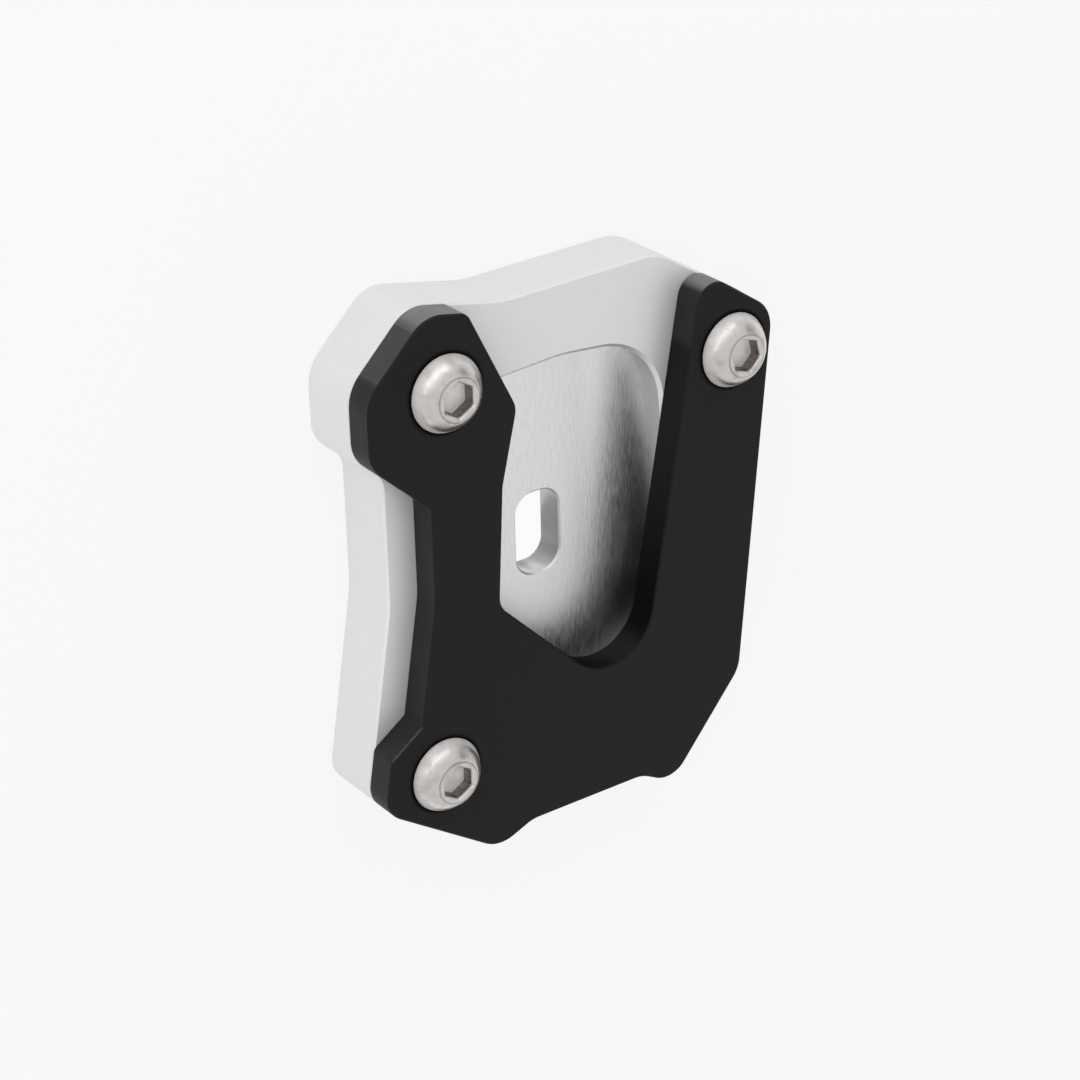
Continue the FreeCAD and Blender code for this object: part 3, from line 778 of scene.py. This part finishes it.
    def threaded_shank(self) -> bpy.types.Object:
        """A threaded rod from inside the head down to the screw's end, open where its ends are ragged."""
        core, high = self.core_d / 2 * MM, (self.shank_d - self.core_d) / 2 * MM
        pitch = self.pitch * MM
        top, bottom = self.shank_in_head * MM, -self.length * MM
        tooth = [(core + high * out, pitch * up) for out, up in self.tooth]
        Bench.clear_selection()
        bpy.ops.mesh.primitive_plane_add(size=pitch)
        shank = bpy.context.object
        Bench.edit(shank)
        bpy.ops.mesh.select_all(action="SELECT")
        bpy.ops.mesh.merge(type="CENTER")
        mesh = bmesh.from_edit_mesh(shank.data)
        mesh.verts.ensure_lookup_table()
        mesh.verts[0].co = (tooth[0][0], 0.0, bottom - self.spare_turns * pitch)
        mesh.verts[0].select = True
        bmesh.update_edit_mesh(shank.data)
        for (radius, height), (next_radius, next_height) in zip(tooth, tooth[1:]):
            move = (next_radius - radius, 0.0, next_height - height)
            bpy.ops.mesh.extrude_vertices_move(TRANSFORM_OT_translate={"value": move})
        Bench.leave()
        screw = shank.modifiers.new("thread", "SCREW")
        screw.screw_offset = pitch
        screw.iterations = math.ceil((top - bottom) / pitch + 2 * self.spare_turns)
        screw.steps = screw.render_steps = self.thread_steps
        screw.use_merge_vertices = True
        screw.merge_threshold = self.merge_under * MM
        Bench.pick(shank)
        bpy.ops.object.modifier_apply(modifier=screw.name)
        Bench.turn_faces(shank, self.merge_under * MM)
        Bench.slice(shank, bottom, Keep.ABOVE)
        Bench.slice(shank, top, Keep.BELOW)
        Bench.turn_faces(shank)
        return shank

    def build(self) -> bpy.types.Object:
        """Model the screw upright round the origin.

        Returns:
            The screw, without a finish.
        """
        screw = self.turned_head()
        self.punch_socket(screw)
        shank = self.threaded_shank()
        Bench.pick(screw, shank)
        bpy.ops.object.join()
        bpy.ops.object.shade_smooth_by_angle(angle=math.radians(self.smooth_under))
        return screw


@dataclass(frozen=True)
class ScrewPlace:
    """Where a screw sits: its name, its axis, and how far it is turned."""

    name: str
    axis: Spot
    turn: float


@dataclass
class FootEnlarger:
    """The whole object: two plates from the frame, and three screws modelled here."""

    screws: Tuple[ScrewPlace, ...] = (
        ScrewPlace("screw_at_leg", (-20.78, 28.95), 30.0),
        ScrewPlace("screw_at_arm", (25.53, 22.84), 44.0),
        ScrewPlace("screw_at_heel", (-23.19, -25.45), 30.0),
    )
    screw_end: float = 2.0
    alloy_colour: Colour = (0.83, 0.83, 0.828, 1.0)
    black_colour: Colour = (0.006, 0.006, 0.0062, 1.0)
    steel_colour: Colour = (0.7, 0.68, 0.66, 1.0)

    def axes(self) -> Tuple[Spot, ...]:
        """The axes of the screws and their holes."""
        return tuple(place.axis for place in self.screws)

    def dress_plates(self) -> None:
        """Give the two plates their finishes."""
        alloy = BlastedAlloy(
            "blasted_alloy",
            colour=self.alloy_colour,
            metallic=0.35,
            roughness=0.45,
            plate_top=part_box("base_plate")[1].z / MM,
            holes=self.axes(),
        )
        black = BlackAnodised(
            "black_anodised",
            colour=self.black_colour,
            metallic=0.0,
            roughness=0.45,
            specular=0.0,
            heads=self.axes(),
        )
        alloy.dress(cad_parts["base_plate"])
        black.dress(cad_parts["clamp_plate"])

    def fit_screws(self) -> List[bpy.types.Object]:
        """Model one screw, and put a copy in each hole.

        Returns:
            The screws.
        """
        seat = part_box("clamp_plate")[1].z / MM
        steel = FormedSteel(
            "formed_steel",
            colour=self.steel_colour,
            metallic=1.0,
            roughness=0.24,
            heads=self.axes(),
            seat=seat,
        )
        pattern = ButtonScrew(length=seat - self.screw_end).build()
        steel.dress(pattern)
        pieces = []
        for place in self.screws:
            screw = Bench.twin(pattern, place.name)
            screw.location = (place.axis[0] * MM, place.axis[1] * MM, seat * MM)
            screw.rotation_euler = (0.0, 0.0, math.radians(place.turn))
            Bench.settle(screw)
            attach(screw, BODY)
            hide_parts("clamp_screws")
            pieces.append(screw)
        bpy.data.meshes.remove(pattern.data)
        return pieces

    def build(self) -> None:
        """Dress the plates and make the screws."""
        self.dress_plates()
        for piece in self.fit_screws():
            log.info("%s: %d faces", piece.name, len(piece.data.polygons))


@dataclass
class SoftLamp:
    """A soft lamp, wide and low, that looks at the object; its sizes are in metres."""

    name: str
    direction: Point
    distance: float
    width: float
    height: float
    power: float

    def build(self, centre: Vector) -> None:
        """Hang the lamp.

        Args:
            centre: The point that it looks at, in metres.
        """
        data = bpy.data.lights.new(self.name, "AREA")
        data.shape = "RECTANGLE"
        data.size = self.width
        data.size_y = self.height
        data.energy = self.power
        lamp = bpy.data.objects.new(self.name, data)
        bpy.context.scene.collection.objects.link(lamp)
        away = Vector(self.direction).normalized()
        lamp.location = centre + away * self.distance
        lamp.rotation_euler = away.to_track_quat("Z", "Y").to_euler()


@dataclass
class Studio:
    """Pale floor, plain soft light, and the camera where the photograph was taken from."""

    backdrop: float = 0.93
    floor_reach: float = 6.0
    floor_drop: float = 0.03
    shown_share: float = 0.75
    slot_share: float = 0.93
    ambient: float = 0.78
    dim_side: Point = (0.783, 0.474, 0.387)
    dim_share: float = 0.6
    lens: float = 96.3
    sensor: float = 36.0
    camera_place: Point = (-203.47, 171.42, 292.38)
    camera_up: Point = (0.2744, 0.8975, -0.3453)
    camera_back: Point = (-0.5177, 0.4404, 0.7334)
    slot_place: Spot = (-3.5, -1.5)
    slot_reach: float = 4.5
    slot_edge: float = -5.8
    lamps: Tuple[SoftLamp, ...] = (
        SoftLamp("key", (-0.5, 0.82, 0.27), distance=0.7, width=1.5, height=0.38, power=1.0),
        SoftLamp("key_fringe", (-0.5, 0.8, 0.31), distance=0.75, width=1.8, height=0.6, power=0.5),
    )

    def floor_material(self) -> bpy.types.Material:
        """Pale floor at the backdrop's level for camera and gloss, with the object's shadow; painted
        light near the slot.
        """
        material = bpy.data.materials.new("studio_floor")
        material.use_nodes = True
        graph = Graph(material.node_tree)
        place = graph.place()
        x, y, _z = graph.parts(place)
        cloud = graph.grain(place, (0.01, 0.01, 0.01))
        colour = graph.shade((self.backdrop, self.backdrop, self.backdrop), 0.99 + 0.02 * cloud)
        paint = graph.node("ShaderNodeBsdfDiffuse", None, {"Color": colour})
        glow = graph.node("ShaderNodeEmission", None, {"Color": WHITE, "Strength": 1.0})
        out = graph.reach(x, y, (self.slot_place,))
        beside = x.rise(self.slot_edge, self.slot_edge - 0.6)
        open_floor = out.rise(self.slot_reach, self.slot_reach + 0.8).larger(beside)
        bounced = graph.ray("Glossy").larger(graph.ray("Transmission"))
        seen = graph.ray("Camera").larger(bounced * open_floor)
        # Painted light: camera rays see more glow near the slot, which hides most of the object's shadow
        # there.
        share = self.slot_share + out.rise(12.0, 24.0) * (self.shown_share - self.slot_share)
        lit = graph.overlay(seen * share, paint, glow)
        clear = graph.node("ShaderNodeBsdfTransparent")
        behind = graph.node("ShaderNodeNewGeometry", output="Backfacing")
        shader = graph.overlay(behind, lit, clear)
        graph.node("ShaderNodeOutputMaterial", None, {"Surface": shader})
        return material

    def lay_floor(self) -> None:
        """Lay the floor just under the object, so that no two faces lie in one plane."""
        Bench.clear_selection()
        under = (0.0, 0.0, -self.floor_drop * MM)
        bpy.ops.mesh.primitive_plane_add(size=self.floor_reach, location=under)
        floor = bpy.context.object
        floor.name = "studio_floor"
        floor.data.materials.append(self.floor_material())

    def light_world(self) -> None:
        """Even light from all round but for one dim spot, with the backdrop's level for the camera."""
        world = bpy.data.worlds.new("studio")
        world.use_nodes = True
        bpy.context.scene.world = world
        graph = Graph(world.node_tree)
        colour = (self.backdrop, self.backdrop, self.backdrop, 1.0)
        level = self.ambient * (1.0 - self.dim_share)
        plain = graph.node("ShaderNodeBackground", None, {"Color": WHITE, "Strength": self.ambient})
        dim = graph.node("ShaderNodeBackground", None, {"Color": WHITE, "Strength": level})
        backdrop = graph.node("ShaderNodeBackground", None, {"Color": colour, "Strength": 1.0})
        pair = {0: graph.node("ShaderNodeTexCoord", output="Generated"), 1: self.dim_side}
        toward = graph.node("ShaderNodeVectorMath", {"operation": "DOT_PRODUCT"}, pair, "Value")
        tent = graph.overlay(toward.rise(0.95, 0.99), plain, dim)
        shader = graph.overlay(graph.ray("Camera"), tent, backdrop)
        graph.node("ShaderNodeOutputWorld", None, {"Surface": shader})

    def set_camera(self) -> None:
        """Put the camera at the photograph's viewing angle."""
        data = bpy.data.cameras.new("camera")
        data.lens = self.lens
        data.sensor_width = self.sensor
        camera = bpy.data.objects.new("camera", data)
        bpy.context.scene.collection.objects.link(camera)
        back = Vector(self.camera_back).normalized()
        right = Vector(self.camera_up).cross(back).normalized()
        up = back.cross(right)
        axes = Matrix((right, up, back)).transposed()
        camera.matrix_world = Matrix.Translation(Vector(self.camera_place) * MM) @ axes.to_4x4()
        bpy.context.scene.camera = camera

    def build(self) -> None:
        """Set up the floor, the light and the camera."""
        self.lay_floor()
        self.light_world()
        centre = (CAD_BOX[0] + CAD_BOX[1]) / 2
        for lamp in self.lamps:
            lamp.build(centre)
        self.set_camera()
        bpy.context.scene.view_settings.view_transform = "Standard"


def main() -> None:
    """Build the object's looks and the studio."""
    logging.basicConfig(level=logging.INFO, format="%(name)s: %(message)s")
    FootEnlarger().build()
    Studio().build()


if __name__ == "__main__":
    main()
